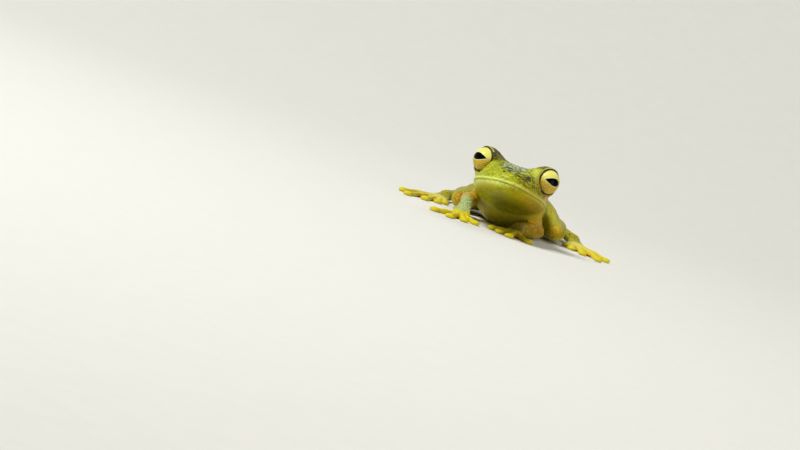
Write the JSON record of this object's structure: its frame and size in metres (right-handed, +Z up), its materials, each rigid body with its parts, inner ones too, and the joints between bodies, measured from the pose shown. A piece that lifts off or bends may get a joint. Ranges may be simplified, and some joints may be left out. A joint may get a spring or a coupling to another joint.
{
  "type": "tree frog",
  "caption": "Life-size still model of a small green tree frog lying low, head raised, large pale eyes, webbed hands and feet with round toe pads",
  "frame": {"origin": "middle of the belly's rest flat, on the floor", "axes": "-Y is forward, along the trunk towards the head; +X is the frog's left; +Z is up"},
  "size_m": [0.0406, 0.0443, 0.014],
  "materials": {
    "head": "moist satin skin, yellow-green",
    "throat": "moist satin skin, olive",
    "back": "moist satin skin, leaf green",
    "limb": "moist satin skin, olive yellow",
    "digit": "moist skin, yellow pads and orange-red web",
    "eye": "wet gloss, pale gold iris",
    "eardrum": "thin satin skin"
  },
  "bodies": {
    "root": {"head": "head", "lower_jaw": "throat", "torso": "back", "eye_left": "eye", "eye_right": "eye", "eardrum_left": "eardrum", "eardrum_right": "eardrum", "upper_arm_left": "limb", "forearm_left": "limb", "hand_left": "digit", "thigh_left": "limb", "shank_left": "limb", "tarsus_left": "limb", "foot_left": "digit", "upper_arm_right": "limb", "forearm_right": "limb", "hand_right": "digit", "thigh_right": "limb", "shank_right": "limb", "tarsus_right": "limb", "foot_right": "digit"}
  },
  "joints": []
}
